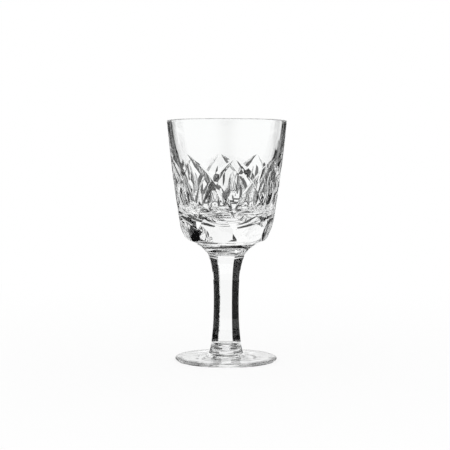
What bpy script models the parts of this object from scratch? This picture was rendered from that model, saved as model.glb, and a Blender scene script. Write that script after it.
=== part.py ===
"""A small stemmed port glass in clear cut crystal.

The bowl is a blown cup cut with flat flutes round its base and, above them, crossing arches with olives.
The stem is solid, with six flat panels, and the foot is a plain round disc.
On the real glass the three are fused hot. Here each is a solid of its own.
Sizes are in metres, +Z is up, and the origin is the middle of the foot's resting plane.
"""

import math

import bmesh
import bpy
from mathutils import Vector

MM = 0.001

# Overall sizes
HEIGHT = 108 * MM
RIM_RADIUS = 26.9 * MM
FOOT_RADIUS = 22.9 * MM
BOWL_SEAM_HEIGHT = 53.2 * MM
FOOT_SEAM_HEIGHT = 3.3 * MM
SEAM_GAP = 0.3 * MM

# Bowl, outside
RIM_TAPER = math.radians(5.2)
LOW_TAPER = math.radians(9.75)
LIP_RADIUS = 0.5 * MM
CORNER_RADIUS = 7.5 * MM
CORNER_CENTRE_HEIGHT = 60.6 * MM
UNDERSIDE_SLOPE = math.radians(26)

# Bowl, inside
INSIDE_BOTTOM_HEIGHT = 62.8 * MM
KNEE_RADIUS = 18.4 * MM
KNEE_HEIGHT = 71.5 * MM
KNEE_LEAN = math.atan(0.25)
INSIDE_WALL_PULL = 16 * MM
INSIDE_LIP_PULL = 12 * MM
KNEE_PULL = 5.5 * MM
INSIDE_FLAT_RADIUS = 8 * MM

# Cut pattern on the bowl, with lengths along its outer profile from the bottom of the corner
PATTERN_COUNT = 8
PATTERN_STEP = math.tau / PATTERN_COUNT
PATTERN_TURN = -math.pi / 2 - PATTERN_STEP / 4
FLUTE_BOTTOM = 0.4 * MM
FLUTE_TOP = 14.5 * MM
FLUTE_WIDTH = 17.5 * MM
FLUTE_RUNOUT = 0.1
ARCH_START = 12 * MM
ARCH_HEIGHT = 27 * MM
ARCH_SPREAD = 0.03 * PATTERN_STEP
ARCH_ROUNDNESS = 1.5
RIGHT_ARCH_DEPTH = 1.25 * MM
LEFT_ARCH_DEPTH = 1.33 * MM
ARCH_EVENNESS = 4
LOW_OLIVE_START = 15 * MM
LOW_OLIVE_LENGTH = 10 * MM
LOW_OLIVE_WIDTH = 6.5 * MM
HIGH_OLIVE_START = 22.5 * MM
HIGH_OLIVE_LENGTH = 11 * MM
HIGH_OLIVE_WIDTH = 5.5 * MM
OLIVE_DEPTH = 0.9 * MM
OLIVE_MARGIN = 1.15
CUT_HALF_ANGLE = math.radians(52)
CUTTER_RISE = 0.8 * MM
CUTTER_RUNOUT = 0.2 * MM

# Stem
PANEL_COUNT = 6
WAIST_RADIUS = 5.66 * MM
WAIST_HEIGHT = 27 * MM
FLARE_PULL = 7.2 * MM
UPPER_PULL = 20.5 * MM
LOWER_PULL = 10 * MM
COLLAR_RADIUS = 7.1 * MM
COLLAR_HEIGHT = 5.4 * MM
COLLAR_LEAN = math.atan(0.16)
COLLAR_PULL = 6 * MM
STEM_END_RADIUS = 7.7 * MM
PANEL_BOTTOM = 8 * MM
PANEL_TOP = 46.8 * MM
PANEL_RUNOUT_LOW = 2.2 * MM
PANEL_RUNOUT_HIGH = 2.6 * MM
PANEL_SHARPNESS = 0.995
ENVELOPE_STEP = 0.1 * MM
ENVELOPE_RADIUS = 40 * MM
ENVELOPE_END = 60 * MM

# Foot
FOOT_PULL_IN = (9.4 * MM, 1.9 * MM)
FOOT_PULL_OUT = (14 * MM, 1.85 * MM)
FOOT_EDGE_HEIGHT = 1.5 * MM
FOOT_EDGE_RADIUS = 0.6 * MM
FOOT_EDGE_TOP = math.radians(87)
FOOT_EDGE_BOTTOM = math.radians(-50)
REST_RING_INNER = 19.5 * MM
REST_RING_OUTER = 22.3 * MM
UNDERSIDE_HOLLOW = 0.5 * MM
HOLLOW_EDGE_SHARE = 0.5
HOLLOW_MIDDLE_SHARE = 0.3

# Fineness of the round shapes
TURNS = 64
CURVE_STEPS = 8
CORNER_STEPS = 6
LIP_STEPS = 6
CUT_STEPS = 8
OLIVE_STEPS = 6
WALL_STEPS = 6
MERGE_DISTANCE = 0.001 * MM
WELD_DISTANCE = 0.02 * MM
ALONG_STEP = 0.01
BOWL_SHARP = math.radians(20)
STEM_SHARP = math.radians(25)
FOOT_SHARP = math.radians(40)

CRYSTAL_COLOUR = (0.96, 0.97, 0.97, 1)
CRYSTAL_ROUGHNESS = 0.02
CRYSTAL_IOR = 1.545


def arc(centre, radius, start, end, steps):
    """Points (radius, height) round a centre, with angles from level outwards."""
    angles = [start + (end - start) * i / steps for i in range(steps + 1)]
    return [(centre[0] + radius * math.cos(a), centre[1] + radius * math.sin(a)) for a in angles]


def bezier(first, first_pull, last_pull, last, steps):
    """Points on a cubic curve through first and last."""
    points = []
    for i in range(steps + 1):
        t = i / steps
        weights = ((1 - t) ** 3, 3 * t * (1 - t) ** 2, 3 * t * t * (1 - t), t**3)
        controls = (first, first_pull, last_pull, last)
        points.append(tuple(sum(w * p[k] for w, p in zip(weights, controls)) for k in (0, 1)))
    return points


def along(point, angle, distance):
    """The point that lies this far from another, at an angle up from level."""
    return point[0] + distance * math.cos(angle), point[1] + distance * math.sin(angle)


# The bowl's outside runs from the lip down a wall with a slight swell, round the corner, to the underside
CORNER_LOW = UNDERSIDE_SLOPE - math.pi / 2
CORNER_LENGTH = CORNER_RADIUS * (-LOW_TAPER - CORNER_LOW)
LIP_CENTRE = (RIM_RADIUS - LIP_RADIUS, HEIGHT - LIP_RADIUS)
WALL_TOP = along(LIP_CENTRE, -RIM_TAPER, LIP_RADIUS)
WALL_DROP = WALL_TOP[1] - CORNER_CENTRE_HEIGHT + CORNER_RADIUS * math.sin(LOW_TAPER)
WALL_CURVE = WALL_DROP / (math.sin(LOW_TAPER) - math.sin(RIM_TAPER))
WALL_CENTRE = along(WALL_TOP, math.pi - RIM_TAPER, WALL_CURVE)
CORNER_CENTRE = along(WALL_CENTRE, -LOW_TAPER, WALL_CURVE - CORNER_RADIUS)


def bowl_seam_radius(height):
    """Radius of the sloping underside where the bowl and the stem meet."""
    low_radius, low_height = along(CORNER_CENTRE, CORNER_LOW, CORNER_RADIUS)
    return low_radius - (low_height - height) / math.tan(UNDERSIDE_SLOPE)


def outer_profile(length):
    """Radius, height and facing angle of the bowl's outside, this far up from the corner's bottom."""
    if length < CORNER_LENGTH:
        facing = CORNER_LOW + length / CORNER_RADIUS
        return *along(CORNER_CENTRE, facing, CORNER_RADIUS), facing
    facing = -LOW_TAPER + (length - CORNER_LENGTH) / WALL_CURVE
    return *along(WALL_CENTRE, facing, WALL_CURVE), facing


def outer_point(turn, length):
    """Point on the bowl's outside and the direction it faces."""
    radius, height, facing = outer_profile(length)
    outward = Vector((math.cos(turn), math.sin(turn), 0))
    point = outward * radius + Vector((0, 0, height))
    return point, outward * math.cos(facing) + Vector((0, 0, math.sin(facing)))


def crystal(name):
    """Clear polished crystal."""
    material = bpy.data.materials.new(name)
    material.use_nodes = True
    shader = material.node_tree.nodes["Principled BSDF"]
    shader.inputs["Base Color"].default_value = CRYSTAL_COLOUR
    shader.inputs["Roughness"].default_value = CRYSTAL_ROUGHNESS
    shader.inputs["Metallic"].default_value = 0
    shader.inputs["Transmission Weight"].default_value = 1
    shader.inputs["IOR"].default_value = CRYSTAL_IOR
    return material


def new_object(name, shape):
    """An object in the scene from a bmesh, facing out."""
    bmesh.ops.recalc_face_normals(shape, faces=shape.faces)
    mesh = bpy.data.meshes.new(name)
    shape.to_mesh(mesh)
    shape.free()
    piece = bpy.data.objects.new(name, mesh)
    bpy.context.scene.collection.objects.link(piece)
    return piece


def turned(name, outline):
    """A solid of revolution whose outline starts and ends on the axis."""
    shape = bmesh.new()
    corners = [shape.verts.new((radius, 0, height)) for radius, height in outline]
    edges = [shape.edges.new(pair) for pair in zip(corners, corners[1:])]
    bmesh.ops.spin(
        shape,
        geom=corners + edges,
        cent=(0, 0, 0),
        axis=(0, 0, 1),
        angle=math.tau,
        steps=TURNS,
        use_merge=True,
    )
    bmesh.ops.remove_doubles(shape, verts=shape.verts, dist=MERGE_DISTANCE)
    return new_object(name, shape)


def add_loft(shape, sections):
    """Adds a closed solid through a row of sections to a bmesh."""
    loops = [[shape.verts.new(point) for point in section] for section in sections]
    for near, far in zip(loops, loops[1:]):
        for i in range(len(near)):
            j = (i + 1) % len(near)
            shape.faces.new((near[i], near[j], far[j], far[i]))
    shape.faces.new(loops[0])
    shape.faces.new(loops[-1])


def cutter(name, lofts):
    """A hidden helper of one or more lofted solids."""
    shape = bmesh.new()
    for sections in lofts:
        add_loft(shape, sections)
    bmesh.ops.triangulate(shape, faces=shape.faces)
    helper = new_object(name, shape)
    helper.hide_render = True
    helper.display_type = "WIRE"
    return helper


def cut_away(piece, helpers):
    """Cuts all the helpers out of the piece at once."""
    wheels = bpy.data.collections.new(piece.name + "_cutters")
    bpy.context.scene.collection.children.link(wheels)
    for helper in helpers:
        bpy.context.scene.collection.objects.unlink(helper)
        wheels.objects.link(helper)
    modifier = piece.modifiers.new("cuts", "BOOLEAN")
    modifier.operation = "DIFFERENCE"
    modifier.solver = "EXACT"
    modifier.operand_type = "COLLECTION"
    modifier.collection = wheels
    weld = piece.modifiers.new("weld", "WELD")
    weld.merge_threshold = WELD_DISTANCE


def keep_within(piece, envelope):
    """Keeps what the piece shares with a helper."""
    modifier = piece.modifiers.new("panels", "BOOLEAN")
    modifier.operation = "INTERSECT"
    modifier.solver = "EXACT"
    modifier.object = envelope


def finish(piece, material, sharp_angle):
    """Gives a piece its material and smooth round faces with crisp cut edges."""
    piece.data.materials.append(material)
    piece.data.shade_smooth()
    piece.data.set_sharp_from_angle(angle=sharp_angle)


def arch_point(foot, lean, t):
    """Point this share of the way up one side of an arch, and the direction the bowl faces there."""
    return outer_point(foot + lean * t**ARCH_ROUNDNESS, ARCH_START + ARCH_HEIGHT * t)


def arch_side(foot, lean, depth):
    """A V cut that rises from an arch's foot and leans over to its point, running out at both ends."""
    sections = []
    for i in range(CUT_STEPS + 1):
        t = i / CUT_STEPS
        here, facing = arch_point(foot, lean, t)
        nearby, facing_ahead = arch_point(foot, lean, t + ALONG_STEP)
        across = (nearby - here).cross(facing).normalized()
        depth_here = depth - (depth + CUTTER_RUNOUT) * abs(2 * t - 1) ** ARCH_EVENNESS
        half_width = (depth_here + CUTTER_RISE) * math.tan(CUT_HALF_ANGLE)
        top = here + facing * CUTTER_RISE
        sections.append([here - facing * depth_here, top + across * half_width, top - across * half_width])
    return sections


def olive(turn, start, length, width):
    """A shallow oval hollow, longer than it is wide."""
    sections = []
    sideways = Vector((-math.sin(turn), math.cos(turn), 0)) * width / 2
    shares = [OLIVE_MARGIN * (2 * i / OLIVE_STEPS - 1) for i in range(OLIVE_STEPS + 1)]
    rim = OLIVE_DEPTH * (2 * OLIVE_MARGIN**2 - 1) + CUTTER_RISE
    for v in shares:
        middle, facing = outer_point(turn, start + length * (1 + v) / 2)
        section = [middle + sideways * u - facing * OLIVE_DEPTH * (1 - u * u - v * v) for u in shares]
        section += [middle + sideways * u + facing * rim for u in (shares[-1], shares[0])]
        sections.append(section)
    return sections


def flute(turn):
    """A flat cut that takes off the bowl's bottom corner."""
    bottom = outer_point(turn, FLUTE_BOTTOM)[0]
    top = outer_point(turn, FLUTE_TOP)[0]
    rise = top - bottom
    sideways = Vector((-math.sin(turn), math.cos(turn), 0)) * FLUTE_WIDTH / 2
    outwards = sideways.cross(rise).normalized() * FLUTE_WIDTH / 2
    sections = []
    for inner in (bottom - rise * FLUTE_RUNOUT, top + rise * FLUTE_RUNOUT):
        outer = inner + outwards
        sections.append([inner - sideways, inner + sideways, outer + sideways, outer - sideways])
    return sections


def bowl_outline():
    """The bowl's half section, from its inside bottom up and over the lip to its seam with the stem."""
    bottom = (0, INSIDE_BOTTOM_HEIGHT)
    bottom_pull = (INSIDE_FLAT_RADIUS, INSIDE_BOTTOM_HEIGHT)
    knee = (KNEE_RADIUS, KNEE_HEIGHT)
    knee_rise = math.pi / 2 - KNEE_LEAN
    knee_down = along(knee, knee_rise, -KNEE_PULL)
    knee_up = along(knee, knee_rise, INSIDE_WALL_PULL)
    lip_inside = along(LIP_CENTRE, math.pi - RIM_TAPER, LIP_RADIUS)
    lip_down = along(lip_inside, math.pi / 2 - RIM_TAPER, -INSIDE_LIP_PULL)
    inside_bottom = bezier(bottom, bottom_pull, knee_down, knee, CURVE_STEPS)
    inside_wall = bezier(knee, knee_up, lip_down, lip_inside, CURVE_STEPS)
    over_lip = arc(LIP_CENTRE, LIP_RADIUS, math.pi - RIM_TAPER, -RIM_TAPER, LIP_STEPS)
    wall = arc(WALL_CENTRE, WALL_CURVE, -RIM_TAPER, -LOW_TAPER, WALL_STEPS)
    corner = arc(CORNER_CENTRE, CORNER_RADIUS, -LOW_TAPER, CORNER_LOW, CORNER_STEPS)
    seam = [(bowl_seam_radius(BOWL_SEAM_HEIGHT), BOWL_SEAM_HEIGHT), (0, BOWL_SEAM_HEIGHT)]
    return inside_bottom + inside_wall[1:-1] + over_lip + wall[1:-1] + corner + seam


def make_bowl():
    """The cut bowl."""
    bowl = turned("bowl", bowl_outline())
    turns = [PATTERN_TURN + PATTERN_STEP * i for i in range(PATTERN_COUNT)]
    feet = [turn + PATTERN_STEP / 2 for turn in turns]
    low = (LOW_OLIVE_START, LOW_OLIVE_LENGTH, LOW_OLIVE_WIDTH)
    high = (HIGH_OLIVE_START, HIGH_OLIVE_LENGTH, HIGH_OLIVE_WIDTH)
    lean = PATTERN_STEP - ARCH_SPREAD
    cutters = {
        "even_flutes": [flute(turn) for turn in turns[0::2]],
        "odd_flutes": [flute(turn) for turn in turns[1::2]],
        "low_olives": [olive(turn, *low) for turn in turns],
        "high_olives": [olive(foot, *high) for foot in feet],
        "right_arches": [arch_side(foot + ARCH_SPREAD, lean, RIGHT_ARCH_DEPTH) for foot in feet],
        "left_arches": [arch_side(foot - ARCH_SPREAD, -lean, LEFT_ARCH_DEPTH) for foot in feet],
    }
    cut_away(bowl, [cutter(name, lofts) for name, lofts in cutters.items()])
    finish(bowl, crystal("bowl_crystal"), BOWL_SHARP)
    return bowl


def stem_side():
    """The stem's round blank, from the bowl's seam down to the foot's."""
    top = (bowl_seam_radius(BOWL_SEAM_HEIGHT - SEAM_GAP), BOWL_SEAM_HEIGHT - SEAM_GAP)
    flare = along(top, UNDERSIDE_SLOPE, -FLARE_PULL)
    waist = (WAIST_RADIUS, WAIST_HEIGHT)
    collar = (COLLAR_RADIUS, COLLAR_HEIGHT)
    collar_up = along(collar, math.pi / 2 + COLLAR_LEAN, COLLAR_PULL)
    upper = bezier(top, flare, (WAIST_RADIUS, WAIST_HEIGHT + UPPER_PULL), waist, 2 * CURVE_STEPS)
    lower = bezier(waist, (WAIST_RADIUS, WAIST_HEIGHT - LOWER_PULL), collar_up, collar, CURVE_STEPS)
    return upper + lower[1:] + [(STEM_END_RADIUS, FOOT_SEAM_HEIGHT + SEAM_GAP)]


def runout(height):
    """How far a panel wheel stands off its own path: none along a panel, rounding away at its ends."""
    for past, radius in ((height - PANEL_TOP, PANEL_RUNOUT_HIGH), (PANEL_BOTTOM - height, PANEL_RUNOUT_LOW)):
        if past > 0:
            return radius - math.sqrt(max(radius**2 - past**2, 0))
    return 0


def radius_at(outline, height):
    """Radius of an outline that runs downwards, at a height."""
    for (r0, z0), (r1, z1) in zip(outline, outline[1:]):
        if z1 <= height <= z0:
            return r0 + (r1 - r0) * (z0 - height) / (z0 - z1)
    raise ValueError("height is off the outline")


def hexagon(corner, height):
    """A level section of the panels, with its corners this far from the axis."""
    turns = [math.tau * i / PANEL_COUNT for i in range(PANEL_COUNT)]
    return [(corner * math.cos(a), corner * math.sin(a), height) for a in turns]


def panel_envelope(side):
    """A six-sided solid whose faces are the panels and whose ends stand clear of the stem's flares."""
    share = math.cos(math.pi / PANEL_COUNT)
    eases = [math.sin(math.pi / 2 * i / LIP_STEPS) for i in range(LIP_STEPS + 1)]
    heights = [PANEL_BOTTOM - PANEL_RUNOUT_LOW * ease for ease in reversed(eases[1:])]
    heights += [height for radius, height in reversed(side) if PANEL_BOTTOM < height < PANEL_TOP]
    heights += [PANEL_TOP + PANEL_RUNOUT_HIGH * ease for ease in eases]
    sections = []
    for height in heights:
        held = min(max(height, PANEL_BOTTOM), PANEL_TOP)
        corner = radius_at(side, held) * PANEL_SHARPNESS + runout(height) / share
        sections.append(hexagon(corner, height))
    low, high = heights[0] - ENVELOPE_STEP, heights[-1] + ENVELOPE_STEP
    return (
        [hexagon(ENVELOPE_RADIUS, low - ENVELOPE_END), hexagon(ENVELOPE_RADIUS, low)]
        + sections
        + [hexagon(ENVELOPE_RADIUS, high), hexagon(ENVELOPE_RADIUS, high + ENVELOPE_END)]
    )


def make_stem():
    """The six-panel stem."""
    side = stem_side()
    stem = turned("stem", [(0, side[0][1])] + side + [(0, side[-1][1])])
    keep_within(stem, cutter("panel_wheel_path", [panel_envelope(side)]))
    finish(stem, crystal("stem_crystal"), STEM_SHARP)
    return stem


def make_foot():
    """The foot: a thin disc, a little raised to the stem and a little hollow below."""
    edge = (FOOT_RADIUS - FOOT_EDGE_RADIUS, FOOT_EDGE_HEIGHT - FOOT_EDGE_RADIUS)
    pad = [(0, FOOT_SEAM_HEIGHT), (STEM_END_RADIUS, FOOT_SEAM_HEIGHT)]
    round_edge = arc(edge, FOOT_EDGE_RADIUS, FOOT_EDGE_TOP, FOOT_EDGE_BOTTOM, LIP_STEPS)
    top = bezier(pad[-1], FOOT_PULL_IN, FOOT_PULL_OUT, round_edge[0], CURVE_STEPS)
    ring = [(REST_RING_OUTER, 0), (REST_RING_INNER, 0)]
    hollow = bezier(
        ring[-1],
        (REST_RING_INNER * HOLLOW_EDGE_SHARE, UNDERSIDE_HOLLOW),
        (REST_RING_INNER * HOLLOW_MIDDLE_SHARE, UNDERSIDE_HOLLOW),
        (0, UNDERSIDE_HOLLOW),
        CURVE_STEPS - 2,
    )
    foot = turned("foot", pad + top[1:-1] + round_edge + ring + hollow[1:])
    finish(foot, crystal("foot_crystal"), FOOT_SHARP)
    return foot


def main():
    for leftover in list(bpy.data.objects):
        bpy.data.objects.remove(leftover, do_unlink=True)
    glass = bpy.data.objects.new("port_glass", None)
    bpy.context.scene.collection.objects.link(glass)
    for piece in (make_bowl(), make_stem(), make_foot()):
        piece.parent = glass


main()
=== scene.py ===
import math

import bmesh
import bpy
import numpy as np
from mathutils import Matrix, Vector


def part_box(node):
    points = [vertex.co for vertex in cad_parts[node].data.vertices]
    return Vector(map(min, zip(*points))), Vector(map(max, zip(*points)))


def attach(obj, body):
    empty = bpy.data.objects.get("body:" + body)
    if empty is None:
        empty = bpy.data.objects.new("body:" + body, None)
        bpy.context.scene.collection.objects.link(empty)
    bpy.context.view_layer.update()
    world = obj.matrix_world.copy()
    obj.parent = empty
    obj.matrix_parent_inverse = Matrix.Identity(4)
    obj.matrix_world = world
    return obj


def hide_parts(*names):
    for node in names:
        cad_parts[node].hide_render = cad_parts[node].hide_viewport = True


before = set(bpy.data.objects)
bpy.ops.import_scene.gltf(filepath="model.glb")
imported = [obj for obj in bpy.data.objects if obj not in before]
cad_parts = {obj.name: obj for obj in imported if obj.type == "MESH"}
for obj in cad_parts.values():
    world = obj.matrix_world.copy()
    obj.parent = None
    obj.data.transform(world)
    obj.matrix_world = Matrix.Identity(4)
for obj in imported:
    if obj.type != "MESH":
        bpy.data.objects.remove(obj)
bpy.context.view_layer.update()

# The looks of a small port glass in clear cut crystal. Bowl, stem and foot are turned and cut again,
# finer than the solids, on the same sizes. They meet without a gap, as the real glass is fused.

MM = 0.001

# Sizes that the frame gives
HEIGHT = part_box("bowl")[1][2]
RIM_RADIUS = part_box("bowl")[1][0]
FOOT_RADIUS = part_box("foot")[1][0]
BOWL_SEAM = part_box("bowl")[0][2]
FOOT_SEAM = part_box("foot")[1][2]

# Bowl, outside
RIM_TAPER = math.radians(5.2)
LOW_TAPER = math.radians(9.75)
LIP_RADIUS = 0.5 * MM
CORNER_RADIUS = 7.5 * MM
CORNER_CENTRE_HEIGHT = 60.6 * MM
UNDERSIDE_SLOPE = math.radians(26)

# Bowl, inside
INSIDE_BOTTOM = 62.8 * MM
INSIDE_FLAT_RADIUS = 8 * MM
KNEE = (18.4 * MM, 71.5 * MM)
KNEE_LEAN = 0.25
KNEE_RISE = math.pi / 2 - math.atan(KNEE_LEAN)
KNEE_PULL = 5.5 * MM
INSIDE_WALL_PULL = 16 * MM
INSIDE_LIP_PULL = 12 * MM

# Cuts on the bowl, with lengths along its outer profile from the bottom of the corner. An arch's depths are
# for its right and left sides, and an olive's three values are its start, length and width.
PATTERN_COUNT = 8
PATTERN_STEP = math.tau / PATTERN_COUNT
PATTERN_TURN = -math.pi / 2 - PATTERN_STEP / 4
FLUTE_BOTTOM = 0.4 * MM
FLUTE_TOP = 14.5 * MM
FLUTE_WIDTH = 17.5 * MM
FLUTE_RUNOUT = 0.1
ARCH_START = 12 * MM
ARCH_HEIGHT = 27 * MM
ARCH_SPREAD = 0.03 * PATTERN_STEP
ARCH_ROUNDNESS = 1.5
ARCH_DEPTHS = (1.25 * MM, 1.33 * MM)
ARCH_EVENNESS = 4
LOW_OLIVE = (15 * MM, 10 * MM, 6.5 * MM)
HIGH_OLIVE = (22.5 * MM, 11 * MM, 5.5 * MM)
OLIVE_DEPTH = 0.9 * MM
OLIVE_MARGIN = 1.15
CUT_HALF_ANGLE = math.radians(52)
CUTTER_RISE = 0.8 * MM
CUTTER_RUNOUT = 0.2 * MM
ALONG_STEP = 0.01

# Stem
PANEL_COUNT = 6
WAIST = (5.66 * MM, 27 * MM)
FLARE_PULL = 7.2 * MM
UPPER_PULL = 20.5 * MM
LOWER_PULL = 10 * MM
COLLAR = (7.1 * MM, 5.4 * MM)
COLLAR_LEAN = 0.16
COLLAR_RISE = math.pi / 2 + math.atan(COLLAR_LEAN)
COLLAR_PULL = 6 * MM
STEM_END_RADIUS = 7.7 * MM
PANEL_BOTTOM = 8 * MM
PANEL_TOP = 46.8 * MM
PANEL_RUNOUT_LOW = 2.2 * MM
PANEL_RUNOUT_HIGH = 2.6 * MM
PANEL_SHARPNESS = 0.995
ENVELOPE_STEP = 0.1 * MM
ENVELOPE_RADIUS = 40 * MM
ENVELOPE_END = 60 * MM

# Foot
FOOT_PULL_IN = (9.4 * MM, 1.9 * MM)
FOOT_PULL_OUT = (14 * MM, 1.85 * MM)
FOOT_EDGE_HEIGHT = 1.5 * MM
FOOT_EDGE_RADIUS = 0.6 * MM
FOOT_EDGE_TOP = math.radians(87)
FOOT_EDGE_BOTTOM = math.radians(-50)
REST_RING_INNER = 19.5 * MM
REST_RING_OUTER = 22.3 * MM
UNDERSIDE_HOLLOW = 0.5 * MM
HOLLOW_EDGE_SHARE = 0.5
HOLLOW_MIDDLE_SHARE = 0.3

# Fineness
TURNS = 192
CURVE_STEPS = 24
LIP_STEPS = 12
CUT_STEPS = 24
MERGE_DISTANCE = 0.001 * MM
WELD_DISTANCE = 0.004 * MM
SHARP_ANGLE = math.radians(20)

# The order of each piece's materials
TURNED, CUT, SEAM = 0, 1, 2

# Crystal: its ripples per metre, their stretch round the glass, their depth, and the roughness of its marks
CRYSTAL_IOR = 1.545
CRYSTALS = {
    "bowl_blown_crystal": (110, 2.5, 0.03 * MM, 0.012),
    "bowl_cut_crystal": (260, 1, 0.01 * MM, 0.02),
    "stem_drawn_crystal": (140, 3, 0.03 * MM, 0.012),
    "stem_cut_crystal": (180, 2, 0.012 * MM, 0.015),
    "foot_top_crystal": (200, 1, 0.1 * MM, 0.02),
    "foot_ring_crystal": (400, 1, 0.02 * MM, 0.4),
}
CLEAREST = (1, 1, 1, 1)
FAINTEST_TINT = (0.975, 0.985, 0.98, 1)
TINT_SCALE = 40
MARK_SCALE = 1500
MARK_START = 0.5
MARK_END = 0.75

# Camera, in pixels of a 450 by 450 picture
PICTURE = 450
CAMERA_DISTANCE = 0.548
CAMERA_HEIGHT = 0.0897
CAMERA_AZIMUTH = math.radians(3.3)
CAMERA_PITCH = math.radians(3)
CAMERA_ROLL = math.radians(0.2)
FOCAL_PIXELS = 1219
AXIS_PIXEL = 226.5
SENSOR = 36

# Studio: boards round the glass, from left to right and from low to high in degrees. Nought is level and
# straight behind the glass, as the camera sees it. The boards are painted shade and painted reflections:
# they glow, show only in and through the glass, cast no shadow and move with the camera.
BOARDS = {
    "left_low_board": (-76, -13, -60, -15),
    "left_side_board": (-60, -13, -15, 0),
    "left_bar_board": (-47, -13, 0, 7),
    "left_high_board": (-76, -29, 7, 19),
    "left_top_board": (-76, -44, 19, 32),
    "right_low_board": (12, 76, -60, -15),
    "right_side_board": (58, 76, -15, 1),
    "right_bar_board": (12, 47, -15, 7),
    "right_high_board": (30, 76, 7, 22),
    "back_low_board": (-13, 12, -26, -19),
    "back_right_board": (2, 76, 22, 24),
    "back_high_board": (-0.5, 76, 24, 58),
    "back_middle_board": (-25, -0.5, 30, 58),
    "back_left_board": (-60, -25, 36, 58),
    "back_pale_board": (-13, 12, 4, 15),
    "front_board": (150, 210, -18, 9),
    "front_top_board": (90, 270, 45, 65),
    "front_under_board": (130, 230, -85, -30),
}
BOARD_DISTANCE = 3.0
BOARD_MIDDLE = 0.06
BOARD_STEPS = 16
# Painted shade in the glass: near black for the dark boards, pale grey for the board behind, which shows
# only in reflections, and grey for the middle of the front board, fading to white at its sides.
DARK_BOARD_PAINTED_SHADE = (0.005, 0.005, 0.005, 1)
PALE_BOARD_PAINTED_SHADE = (0.64, 0.64, 0.64, 1)
GREY_BOARD_PAINTED_SHADE = 0.2
GREY_BOARD_HALF = 1.5
FLOOR_SIZE = 6.0
FLOOR_COLOUR = (0.93, 0.93, 0.93, 1)
FLOOR_FADE_START = 0.05
FLOOR_FADE_END = 0.35
FLOOR_LEAST_FADE = 0.8
WHITE = (1, 1, 1, 1)
LIGHT_BOUNCES = 32
CLEAR_BOUNCES = 64


def along(point, angle, distance):
    """The point that lies this far from another, at an angle up from level."""
    return point[0] + distance * math.cos(angle), point[1] + distance * math.sin(angle)


def arc(centre, radius, start, end, steps):
    """Points (radius, height) round a centre, with angles from level outwards."""
    return [along(centre, start + (end - start) * i / steps, radius) for i in range(steps + 1)]


def bezier(first, first_pull, last_pull, last, steps):
    """Points on a cubic curve through first and last."""
    points = []
    for i in range(steps + 1):
        t = i / steps
        weights = ((1 - t) ** 3, 3 * t * (1 - t) ** 2, 3 * t * t * (1 - t), t**3)
        controls = (first, first_pull, last_pull, last)
        points.append(tuple(sum(w * p[k] for w, p in zip(weights, controls)) for k in (0, 1)))
    return points


# The bowl's outside runs from the lip down a wall with a slight swell, round the corner, to the underside
CORNER_LOW = UNDERSIDE_SLOPE - math.pi / 2
CORNER_LENGTH = CORNER_RADIUS * (-LOW_TAPER - CORNER_LOW)
LIP_CENTRE = (RIM_RADIUS - LIP_RADIUS, HEIGHT - LIP_RADIUS)
WALL_TOP = along(LIP_CENTRE, -RIM_TAPER, LIP_RADIUS)
WALL_DROP = WALL_TOP[1] - CORNER_CENTRE_HEIGHT + CORNER_RADIUS * math.sin(LOW_TAPER)
WALL_CURVE = WALL_DROP / (math.sin(LOW_TAPER) - math.sin(RIM_TAPER))
WALL_CENTRE = along(WALL_TOP, math.pi - RIM_TAPER, WALL_CURVE)
CORNER_CENTRE = along(WALL_CENTRE, -LOW_TAPER, WALL_CURVE - CORNER_RADIUS)


def underside_radius(height):
    """Radius of the sloping underside where the bowl and the stem meet."""
    low_radius, low_height = along(CORNER_CENTRE, CORNER_LOW, CORNER_RADIUS)
    return low_radius - (low_height - height) / math.tan(UNDERSIDE_SLOPE)


def outer_point(turn, length):
    """Point on the bowl's outside, this far up from the corner's bottom, and the direction it faces."""
    if length < CORNER_LENGTH:
        facing = CORNER_LOW + length / CORNER_RADIUS
        radius, height = along(CORNER_CENTRE, facing, CORNER_RADIUS)
    else:
        facing = -LOW_TAPER + (length - CORNER_LENGTH) / WALL_CURVE
        radius, height = along(WALL_CENTRE, facing, WALL_CURVE)
    outward = Vector((math.cos(turn), math.sin(turn), 0))
    point = outward * radius + Vector((0, 0, height))
    return point, outward * math.cos(facing) + Vector((0, 0, math.sin(facing)))


def new_object(name, shape, materials):
    """An object in the scene from a bmesh, facing out."""
    bmesh.ops.recalc_face_normals(shape, faces=shape.faces)
    mesh = bpy.data.meshes.new(name)
    shape.to_mesh(mesh)
    shape.free()
    for material in materials:
        mesh.materials.append(material)
    piece = bpy.data.objects.new(name, mesh)
    bpy.context.scene.collection.objects.link(piece)
    return piece


def turned(name, outline, seam_heights, materials):
    """A solid of revolution whose outline starts and ends on the axis. Level faces at a seam are marked."""
    shape = bmesh.new()
    corners = [shape.verts.new((radius, 0, height)) for radius, height in outline]
    edges = [shape.edges.new(pair) for pair in zip(corners, corners[1:])]
    bmesh.ops.spin(
        shape,
        geom=corners + edges,
        cent=(0, 0, 0),
        axis=(0, 0, 1),
        angle=math.tau,
        steps=TURNS,
        use_merge=True,
    )
    bmesh.ops.remove_doubles(shape, verts=shape.verts, dist=MERGE_DISTANCE)
    for face in shape.faces:
        for seam in seam_heights:
            if all(abs(corner.co.z - seam) < MERGE_DISTANCE for corner in face.verts):
                face.material_index = SEAM
    return new_object(name, shape, materials)


def cutter(name, lofts, materials):
    """A helper of one or more closed solids, each lofted through a row of sections."""
    shape = bmesh.new()
    for sections in lofts:
        loops = [[shape.verts.new(point) for point in section] for section in sections]
        for near, far in zip(loops, loops[1:]):
            for i in range(len(near)):
                j = (i + 1) % len(near)
                shape.faces.new((near[i], near[j], far[j], far[i]))
        shape.faces.new(loops[0])
        shape.faces.new(loops[-1])
    bmesh.ops.triangulate(shape, faces=shape.faces)
    for face in shape.faces:
        face.material_index = CUT
    return new_object(name, shape, materials)


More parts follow.
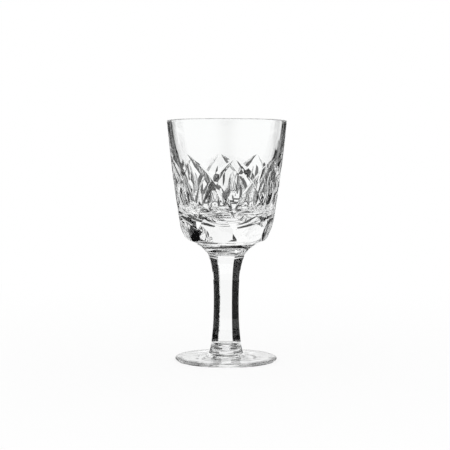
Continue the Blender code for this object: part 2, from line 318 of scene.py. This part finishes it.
def arch_point(foot, lean, t):
    """Point this share of the way up one side of an arch, and the direction the bowl faces there."""
    return outer_point(foot + lean * t**ARCH_ROUNDNESS, ARCH_START + ARCH_HEIGHT * t)


def arch_side(foot, lean, depth):
    """A V cut that rises from an arch's foot and leans over to its point, running out at both ends."""
    sections = []
    for i in range(CUT_STEPS + 1):
        t = i / CUT_STEPS
        here, facing = arch_point(foot, lean, t)
        ahead = arch_point(foot, lean, t + ALONG_STEP)[0]
        across = (ahead - here).cross(facing).normalized()
        depth_here = depth - (depth + CUTTER_RUNOUT) * abs(2 * t - 1) ** ARCH_EVENNESS
        half_width = (depth_here + CUTTER_RISE) * math.tan(CUT_HALF_ANGLE)
        bottom = here - facing * depth_here
        top = here + facing * CUTTER_RISE
        sections.append([bottom, top + across * half_width, top - across * half_width])
    return sections


def olive(turn, start, length, width):
    """A shallow oval hollow, longer than it is wide."""
    sections = []
    sideways = Vector((-math.sin(turn), math.cos(turn), 0)) * width / 2
    shares = [OLIVE_MARGIN * (2 * i / CUT_STEPS - 1) for i in range(CUT_STEPS + 1)]
    rim = OLIVE_DEPTH * (2 * OLIVE_MARGIN**2 - 1) + CUTTER_RISE
    for v in shares:
        middle, facing = outer_point(turn, start + length * (1 + v) / 2)
        section = [middle + sideways * u - facing * OLIVE_DEPTH * (1 - u * u - v * v) for u in shares]
        section += [middle + sideways * u + facing * rim for u in (shares[-1], shares[0])]
        sections.append(section)
    return sections


def flute(turn):
    """A flat cut that takes off the bowl's bottom corner."""
    bottom = outer_point(turn, FLUTE_BOTTOM)[0]
    top = outer_point(turn, FLUTE_TOP)[0]
    rise = top - bottom
    sideways = Vector((-math.sin(turn), math.cos(turn), 0)) * FLUTE_WIDTH / 2
    outwards = sideways.cross(rise).normalized() * FLUTE_WIDTH / 2
    sections = []
    for inner in (bottom - rise * FLUTE_RUNOUT, top + rise * FLUTE_RUNOUT):
        outer = inner + outwards
        sections.append([inner - sideways, inner + sideways, outer + sideways, outer - sideways])
    return sections


def shaped(piece, operation, helpers):
    """Cuts the helpers out of a piece, or keeps what it shares with them, and removes them."""
    wheels = bpy.data.collections.new(piece.name + "_wheels")
    bpy.context.scene.collection.children.link(wheels)
    for helper in helpers:
        bpy.context.scene.collection.objects.unlink(helper)
        wheels.objects.link(helper)
    cuts = piece.modifiers.new("cuts", "BOOLEAN")
    cuts.operation = operation
    cuts.solver = "EXACT"
    cuts.operand_type = "COLLECTION"
    cuts.collection = wheels
    cuts.material_mode = "INDEX"
    weld = piece.modifiers.new("weld", "WELD")
    weld.merge_threshold = WELD_DISTANCE
    view = bpy.context.evaluated_depsgraph_get()
    blank = piece.data
    piece.data = bpy.data.meshes.new_from_object(piece.evaluated_get(view))
    piece.modifiers.clear()
    bpy.data.meshes.remove(blank)
    for helper in helpers:
        bpy.data.objects.remove(helper)
    bpy.data.collections.remove(wheels)


def outline_normals(outline):
    """The direction that each point of an outline faces, as (outward, up) pairs."""
    points = np.array(outline)
    steps = np.diff(points, axis=0)
    steps /= np.linalg.norm(steps, axis=1)[:, None]
    before = np.vstack([steps[:1], steps])
    after = np.vstack([steps, steps[-1:]])
    headings = before + after
    headings /= np.linalg.norm(headings, axis=1)[:, None]
    return points, np.stack([-headings[:, 1], headings[:, 0]], axis=1)


def polish(piece, outline):
    """Gives a piece crisp cut edges, and turned surfaces that are truly round."""
    mesh = piece.data
    mesh.shade_smooth()
    shape = bmesh.new()
    shape.from_mesh(mesh)
    for edge in shape.edges:
        if len(edge.link_faces) == 2:
            one, other = edge.link_faces
            unlike = one.material_index != other.material_index
            edge.smooth = not unlike and edge.calc_face_angle(0) < SHARP_ANGLE
    shape.to_mesh(mesh)
    shape.free()
    points, facings = outline_normals(outline)
    corners = np.empty(len(mesh.vertices) * 3)
    mesh.vertices.foreach_get("co", corners)
    corners = corners.reshape(-1, 3)
    radius = np.hypot(corners[:, 0], corners[:, 1])
    section = np.stack([radius, corners[:, 2]], axis=1)
    start = points[:-1]
    step = points[1:] - start
    share = ((section[:, None] - start) * step).sum(axis=2) / (step**2).sum(axis=1)
    share = share.clip(0, 1)
    nearest = ((section[:, None] - start - step * share[..., None]) ** 2).sum(axis=2).argmin(axis=1)
    place = np.arange(len(section))
    part_way = share[place, nearest][:, None]
    facing = facings[nearest] * (1 - part_way) + facings[nearest + 1] * part_way
    round_part = corners[:, :2] / np.maximum(radius, MERGE_DISTANCE)[:, None]
    normals = np.column_stack([round_part * facing[:, :1], facing[:, 1]])
    normals /= np.linalg.norm(normals, axis=1)[:, None]
    split = np.zeros((len(mesh.loops), 3))
    for face in mesh.polygons:
        if face.material_index == TURNED:
            for corner in face.loop_indices:
                split[corner] = normals[mesh.loops[corner].vertex_index]
    mesh.normals_split_custom_set(split.tolist())


def bowl_outline():
    """The bowl's half section, from its inside bottom up and over the lip to its underside."""
    bottom = (0, INSIDE_BOTTOM)
    bottom_pull = (INSIDE_FLAT_RADIUS, INSIDE_BOTTOM)
    knee_down = along(KNEE, KNEE_RISE, -KNEE_PULL)
    knee_up = along(KNEE, KNEE_RISE, INSIDE_WALL_PULL)
    lip_inside = along(LIP_CENTRE, math.pi - RIM_TAPER, LIP_RADIUS)
    lip_down = along(lip_inside, math.pi / 2 - RIM_TAPER, -INSIDE_LIP_PULL)
    inside_bottom = bezier(bottom, bottom_pull, knee_down, KNEE, CURVE_STEPS)
    inside_wall = bezier(KNEE, knee_up, lip_down, lip_inside, CURVE_STEPS)
    over_lip = arc(LIP_CENTRE, LIP_RADIUS, math.pi - RIM_TAPER, -RIM_TAPER, LIP_STEPS)
    wall = arc(WALL_CENTRE, WALL_CURVE, -RIM_TAPER, -LOW_TAPER, CURVE_STEPS)
    corner = arc(CORNER_CENTRE, CORNER_RADIUS, -LOW_TAPER, CORNER_LOW, CURVE_STEPS)
    underside = [(underside_radius(BOWL_SEAM), BOWL_SEAM)]
    return inside_bottom + inside_wall[1:-1] + over_lip + wall[1:-1] + corner + underside


def make_bowl():
    """The cut bowl."""
    outline = bowl_outline()
    materials = [crystal("bowl_blown_crystal"), crystal("bowl_cut_crystal"), fused_seam()]
    bowl = turned("crystal_bowl", outline + [(0, BOWL_SEAM)], [BOWL_SEAM], materials)
    turns = [PATTERN_TURN + PATTERN_STEP * i for i in range(PATTERN_COUNT)]
    feet = [turn + PATTERN_STEP / 2 for turn in turns]
    right, left = ARCH_DEPTHS
    lofts = {
        "even_flutes": [flute(turn) for turn in turns[0::2]],
        "odd_flutes": [flute(turn) for turn in turns[1::2]],
        "low_olives": [olive(turn, *LOW_OLIVE) for turn in turns],
        "high_olives": [olive(foot, *HIGH_OLIVE) for foot in feet],
        "right_arches": [arch_side(foot + ARCH_SPREAD, PATTERN_STEP - ARCH_SPREAD, right) for foot in feet],
        "left_arches": [arch_side(foot - ARCH_SPREAD, ARCH_SPREAD - PATTERN_STEP, left) for foot in feet],
    }
    shaped(bowl, "DIFFERENCE", [cutter(name, sections, materials) for name, sections in lofts.items()])
    polish(bowl, outline)
    return bowl


def stem_side():
    """The stem's round blank, from the bowl's seam down to the foot's."""
    top = (underside_radius(BOWL_SEAM), BOWL_SEAM)
    flare = along(top, UNDERSIDE_SLOPE, -FLARE_PULL)
    waist_up = (WAIST[0], WAIST[1] + UPPER_PULL)
    waist_down = (WAIST[0], WAIST[1] - LOWER_PULL)
    upper = bezier(top, flare, waist_up, WAIST, 2 * CURVE_STEPS)
    lower = bezier(WAIST, waist_down, along(COLLAR, COLLAR_RISE, COLLAR_PULL), COLLAR, CURVE_STEPS)
    return upper + lower[1:] + [(STEM_END_RADIUS, FOOT_SEAM)]


def runout(height):
    """How far a panel wheel stands off its own path: none along a panel, rounding away at its ends."""
    ends = ((height - PANEL_TOP, PANEL_RUNOUT_HIGH), (PANEL_BOTTOM - height, PANEL_RUNOUT_LOW))
    for past, radius in ends:
        if past > 0:
            return radius - math.sqrt(max(radius**2 - past**2, 0))
    return 0


def radius_at(outline, height):
    """Radius of an outline that runs downwards, at a height."""
    for (r0, z0), (r1, z1) in zip(outline, outline[1:]):
        if z1 <= height <= z0:
            return r0 + (r1 - r0) * (z0 - height) / (z0 - z1)
    raise ValueError("height is off the outline")


def hexagon(corner, height):
    """A level section of the panels, with its corners this far from the axis."""
    turns = [math.tau * i / PANEL_COUNT for i in range(PANEL_COUNT)]
    return [(corner * math.cos(a), corner * math.sin(a), height) for a in turns]


def panel_envelope(side):
    """A six-sided solid whose faces are the panels and whose ends stand clear of the stem's flares."""
    share = math.cos(math.pi / PANEL_COUNT)
    eases = [math.sin(math.pi / 2 * i / LIP_STEPS) for i in range(LIP_STEPS + 1)]
    heights = [PANEL_BOTTOM - PANEL_RUNOUT_LOW * ease for ease in reversed(eases[1:])]
    heights += [height for radius, height in reversed(side) if PANEL_BOTTOM < height < PANEL_TOP]
    heights += [PANEL_TOP + PANEL_RUNOUT_HIGH * ease for ease in eases]
    sections = []
    for height in heights:
        held = min(max(height, PANEL_BOTTOM), PANEL_TOP)
        corner = radius_at(side, held) * PANEL_SHARPNESS + runout(height) / share
        sections.append(hexagon(corner, height))
    low, high = heights[0] - ENVELOPE_STEP, heights[-1] + ENVELOPE_STEP
    return (
        [hexagon(ENVELOPE_RADIUS, low - ENVELOPE_END), hexagon(ENVELOPE_RADIUS, low)]
        + sections
        + [hexagon(ENVELOPE_RADIUS, high), hexagon(ENVELOPE_RADIUS, high + ENVELOPE_END)]
    )


def make_stem():
    """The six-panel stem."""
    side = stem_side()
    blank = [(0, BOWL_SEAM)] + side + [(0, FOOT_SEAM)]
    materials = [crystal("stem_drawn_crystal"), crystal("stem_cut_crystal"), fused_seam()]
    stem = turned("crystal_stem", blank, [BOWL_SEAM, FOOT_SEAM], materials)
    shaped(stem, "INTERSECT", [cutter("panel_wheel_path", [panel_envelope(side)], materials)])
    polish(stem, side)
    return stem


def make_foot():
    """The foot: a thin disc, a little raised to the stem and a little hollow below."""
    edge = (FOOT_RADIUS - FOOT_EDGE_RADIUS, FOOT_EDGE_HEIGHT - FOOT_EDGE_RADIUS)
    pad = (STEM_END_RADIUS, FOOT_SEAM)
    round_edge = arc(edge, FOOT_EDGE_RADIUS, FOOT_EDGE_TOP, FOOT_EDGE_BOTTOM, LIP_STEPS)
    top = bezier(pad, FOOT_PULL_IN, FOOT_PULL_OUT, round_edge[0], CURVE_STEPS)
    ring = [(REST_RING_OUTER, 0), (REST_RING_INNER, 0)]
    hollow = bezier(
        ring[-1],
        (REST_RING_INNER * HOLLOW_EDGE_SHARE, UNDERSIDE_HOLLOW),
        (REST_RING_INNER * HOLLOW_MIDDLE_SHARE, UNDERSIDE_HOLLOW),
        (0, UNDERSIDE_HOLLOW),
        CURVE_STEPS,
    )
    outline = top[:-1] + round_edge + ring + hollow[1:]
    materials = [crystal("foot_top_crystal"), crystal("foot_ring_crystal"), fused_seam()]
    foot = turned("crystal_foot", [(0, FOOT_SEAM)] + outline, [FOOT_SEAM], materials)
    for face in foot.data.polygons:
        if all(foot.data.vertices[corner].co.z < MERGE_DISTANCE for corner in face.vertices):
            face.material_index = CUT
    polish(foot, outline)
    return foot


def crystal_surface():
    """A node group for what varies over polished crystal: slow ripples, fine marks and a trace of tint."""
    group = bpy.data.node_groups.get("crystal_surface")
    if group is not None:
        return group
    group = bpy.data.node_groups.new("crystal_surface", "ShaderNodeTree")
    for socket in ("Ripple Scale", "Ripple Stretch", "Mark Roughness"):
        group.interface.new_socket(socket, in_out="INPUT", socket_type="NodeSocketFloat")
    group.interface.new_socket("Colour", in_out="OUTPUT", socket_type="NodeSocketColor")
    group.interface.new_socket("Roughness", in_out="OUTPUT", socket_type="NodeSocketFloat")
    group.interface.new_socket("Height", in_out="OUTPUT", socket_type="NodeSocketFloat")
    nodes, links = group.nodes, group.links
    given = nodes.new("NodeGroupInput")
    result = nodes.new("NodeGroupOutput")
    place = nodes.new("ShaderNodeTexCoord")
    stretch = nodes.new("ShaderNodeCombineXYZ")
    stretch.inputs["Z"].default_value = 1
    stretched = nodes.new("ShaderNodeVectorMath")
    stretched.operation = "MULTIPLY"
    ripples = nodes.new("ShaderNodeTexNoise")
    ripples.inputs["Detail"].default_value = 1
    marks = nodes.new("ShaderNodeTexNoise")
    marks.inputs["Scale"].default_value = MARK_SCALE
    rubbed = nodes.new("ShaderNodeMapRange")
    rubbed.inputs["From Min"].default_value = MARK_START
    rubbed.inputs["From Max"].default_value = MARK_END
    clouds = nodes.new("ShaderNodeTexNoise")
    clouds.inputs["Scale"].default_value = TINT_SCALE
    tint = nodes.new("ShaderNodeMix")
    tint.data_type = "RGBA"
    tint.inputs["A"].default_value = CLEAREST
    tint.inputs["B"].default_value = FAINTEST_TINT
    links.new(given.outputs["Ripple Stretch"], stretch.inputs["X"])
    links.new(given.outputs["Ripple Stretch"], stretch.inputs["Y"])
    links.new(place.outputs["Object"], stretched.inputs[0])
    links.new(stretch.outputs["Vector"], stretched.inputs[1])
    links.new(stretched.outputs["Vector"], ripples.inputs["Vector"])
    links.new(given.outputs["Ripple Scale"], ripples.inputs["Scale"])
    links.new(place.outputs["Object"], marks.inputs["Vector"])
    links.new(marks.outputs["Fac"], rubbed.inputs["Value"])
    links.new(given.outputs["Mark Roughness"], rubbed.inputs["To Max"])
    links.new(place.outputs["Object"], clouds.inputs["Vector"])
    links.new(clouds.outputs["Fac"], tint.inputs["Factor"])
    links.new(tint.outputs["Result"], result.inputs["Colour"])
    links.new(rubbed.outputs["Result"], result.inputs["Roughness"])
    links.new(ripples.outputs["Fac"], result.inputs["Height"])
    return group


def crystal(name):
    """Clear polished crystal."""
    ripple_scale, ripple_stretch, ripple_depth, mark_roughness = CRYSTALS[name]
    material = bpy.data.materials.new(name)
    material.use_nodes = True
    nodes, links = material.node_tree.nodes, material.node_tree.links
    shader = nodes["Principled BSDF"]
    shader.inputs["Transmission Weight"].default_value = 1
    shader.inputs["IOR"].default_value = CRYSTAL_IOR
    surface = nodes.new("ShaderNodeGroup")
    surface.node_tree = crystal_surface()
    surface.inputs["Ripple Scale"].default_value = ripple_scale
    surface.inputs["Ripple Stretch"].default_value = ripple_stretch
    surface.inputs["Mark Roughness"].default_value = mark_roughness
    bump = nodes.new("ShaderNodeBump")
    bump.inputs["Distance"].default_value = ripple_depth
    links.new(surface.outputs["Colour"], shader.inputs["Base Color"])
    links.new(surface.outputs["Roughness"], shader.inputs["Roughness"])
    links.new(surface.outputs["Height"], bump.inputs["Height"])
    links.new(bump.outputs["Normal"], shader.inputs["Normal"])
    return material


def fused_seam():
    """The place where two pieces are fused: no surface is left, so nothing shows."""
    material = bpy.data.materials.get("fused_seam")
    if material is None:
        material = bpy.data.materials.new("fused_seam")
        material.use_nodes = True
        shader = material.node_tree.nodes["Principled BSDF"]
        shader.inputs["Alpha"].default_value = 0
    return material


def make_camera():
    """A camera at the photograph's viewing angle."""
    lens = bpy.data.cameras.new("camera")
    lens.sensor_width = SENSOR
    lens.lens = FOCAL_PIXELS / PICTURE * SENSOR
    camera = bpy.data.objects.new("camera", lens)
    bpy.context.scene.collection.objects.link(camera)
    aside = math.atan((AXIS_PIXEL - PICTURE / 2) / FOCAL_PIXELS)
    roll = Matrix.Rotation(CAMERA_ROLL, 4, "Z")
    tilt = Matrix.Rotation(math.pi / 2 - CAMERA_PITCH, 4, "X")
    swing = Matrix.Rotation(aside, 4, "Z")
    place = Matrix.Translation((0, -CAMERA_DISTANCE, CAMERA_HEIGHT))
    camera.matrix_world = Matrix.Rotation(CAMERA_AZIMUTH, 4, "Z") @ place @ swing @ tilt @ roll
    bpy.context.scene.camera = camera
    return camera


def glow(name, colour):
    """A material that shows one plain colour in any light."""
    material = bpy.data.materials.new(name)
    material.use_nodes = True
    nodes = material.node_tree.nodes
    nodes.clear()
    light = nodes.new("ShaderNodeEmission")
    light.inputs["Color"].default_value = colour
    output = nodes.new("ShaderNodeOutputMaterial")
    material.node_tree.links.new(light.outputs["Emission"], output.inputs["Surface"])
    return material


def graded_glow(name, shade, half_width):
    """A material that shows a grey in the middle and fades to white at the sides: painted grey reflection.
    """
    material = glow(name, WHITE)
    nodes, links = material.node_tree.nodes, material.node_tree.links
    place = nodes.new("ShaderNodeTexCoord")
    split = nodes.new("ShaderNodeSeparateXYZ")
    aside = nodes.new("ShaderNodeMath")
    aside.operation = "ABSOLUTE"
    fade = nodes.new("ShaderNodeMapRange")
    fade.interpolation_type = "SMOOTHSTEP"
    fade.inputs["From Max"].default_value = half_width
    fade.inputs["To Min"].default_value = shade
    links.new(place.outputs["Object"], split.inputs["Vector"])
    links.new(split.outputs["X"], aside.inputs[0])
    links.new(aside.outputs["Value"], fade.inputs["Value"])
    links.new(fade.outputs["Result"], nodes["Emission"].inputs["Color"])
    return material


def curved_board(name, left, right, low, high, material):
    """A board that curves round the glass and shows only in and through it, as painted shade and
    reflection.
    """
    shape = bmesh.new()
    rows = []
    for i in range(BOARD_STEPS + 1):
        rise = math.radians(low + (high - low) * i / BOARD_STEPS)
        turns = [math.radians(left + (right - left) * k / BOARD_STEPS) for k in range(BOARD_STEPS + 1)]
        reach = BOARD_DISTANCE * math.cos(rise)
        height = BOARD_MIDDLE + BOARD_DISTANCE * math.sin(rise)
        rows.append([shape.verts.new((reach * math.sin(t), reach * math.cos(t), height)) for t in turns])
    for near, far in zip(rows, rows[1:]):
        for k in range(BOARD_STEPS):
            shape.faces.new((near[k], near[k + 1], far[k + 1], far[k]))
    board = new_object(name, shape, [material])
    board.matrix_world = Matrix.Rotation(CAMERA_AZIMUTH, 4, "Z")
    board.visible_camera = False
    board.visible_diffuse = False
    board.visible_shadow = False
    return board


def make_boards(camera):
    """The boards of painted shade and reflection, which keep their places as the camera sees them."""
    # All are dark, as painted shade in the glass, but a grey one in front and a pale one behind. The pale
    # one shows only in reflections, as painted pale grey reflection.
    dark = glow("dark_painted_shade_board", DARK_BOARD_PAINTED_SHADE)
    pale = glow("pale_painted_shade_board", PALE_BOARD_PAINTED_SHADE)
    grey = graded_glow("grey_painted_reflection_board", GREY_BOARD_PAINTED_SHADE, GREY_BOARD_HALF)
    lighter = {"back_pale_board": pale, "front_board": grey}
    bpy.context.view_layer.update()
    for name, sides in BOARDS.items():
        board = curved_board(name, *sides, lighter.get(name, dark))
        board.visible_transmission = name != "back_pale_board"
        board.parent = camera
        board.matrix_parent_inverse = camera.matrix_world.inverted()


def make_floor():
    """A pale floor that keeps the glass's shadow and fades to white further off."""
    mesh = bpy.data.meshes.new("floor")
    half = FLOOR_SIZE / 2
    corners = [(-half, -half, 0), (half, -half, 0), (half, half, 0), (-half, half, 0)]
    mesh.from_pydata(corners, [], [(0, 1, 2, 3)])
    floor = bpy.data.objects.new("floor", mesh)
    bpy.context.scene.collection.objects.link(floor)
    floor.visible_transmission = False
    floor.visible_glossy = False
    material = glow("pale_floor", WHITE)
    nodes, links = material.node_tree.nodes, material.node_tree.links
    paint = nodes.new("ShaderNodeBsdfDiffuse")
    paint.inputs["Color"].default_value = FLOOR_COLOUR
    place = nodes.new("ShaderNodeTexCoord")
    far = nodes.new("ShaderNodeVectorMath")
    far.operation = "LENGTH"
    fade = nodes.new("ShaderNodeMapRange")
    fade.interpolation_type = "SMOOTHSTEP"
    fade.inputs["From Min"].default_value = FLOOR_FADE_START
    fade.inputs["From Max"].default_value = FLOOR_FADE_END
    fade.inputs["To Min"].default_value = FLOOR_LEAST_FADE
    mix = nodes.new("ShaderNodeMixShader")
    links.new(place.outputs["Object"], far.inputs[0])
    links.new(far.outputs["Value"], fade.inputs["Value"])
    links.new(fade.outputs["Result"], mix.inputs["Fac"])
    links.new(paint.outputs["BSDF"], mix.inputs[1])
    links.new(nodes["Emission"].outputs["Emission"], mix.inputs[2])
    links.new(mix.outputs["Shader"], nodes["Material Output"].inputs["Surface"])
    mesh.materials.append(material)


def light_room():
    """A plain white room."""
    world = bpy.data.worlds.new("studio")
    bpy.context.scene.world = world
    world.use_nodes = True
    background = world.node_tree.nodes["Background"]
    background.inputs["Color"].default_value = WHITE


scene = bpy.context.scene
scene.view_settings.view_transform = "Standard"
scene.cycles.max_bounces = LIGHT_BOUNCES
scene.cycles.transmission_bounces = LIGHT_BOUNCES
scene.cycles.glossy_bounces = LIGHT_BOUNCES
scene.cycles.transparent_max_bounces = CLEAR_BOUNCES

for piece, node in ((make_bowl(), "bowl"), (make_stem(), "stem"), (make_foot(), "foot")):
    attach(piece, "root")
    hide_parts(node)

make_boards(make_camera())
make_floor()
light_room()
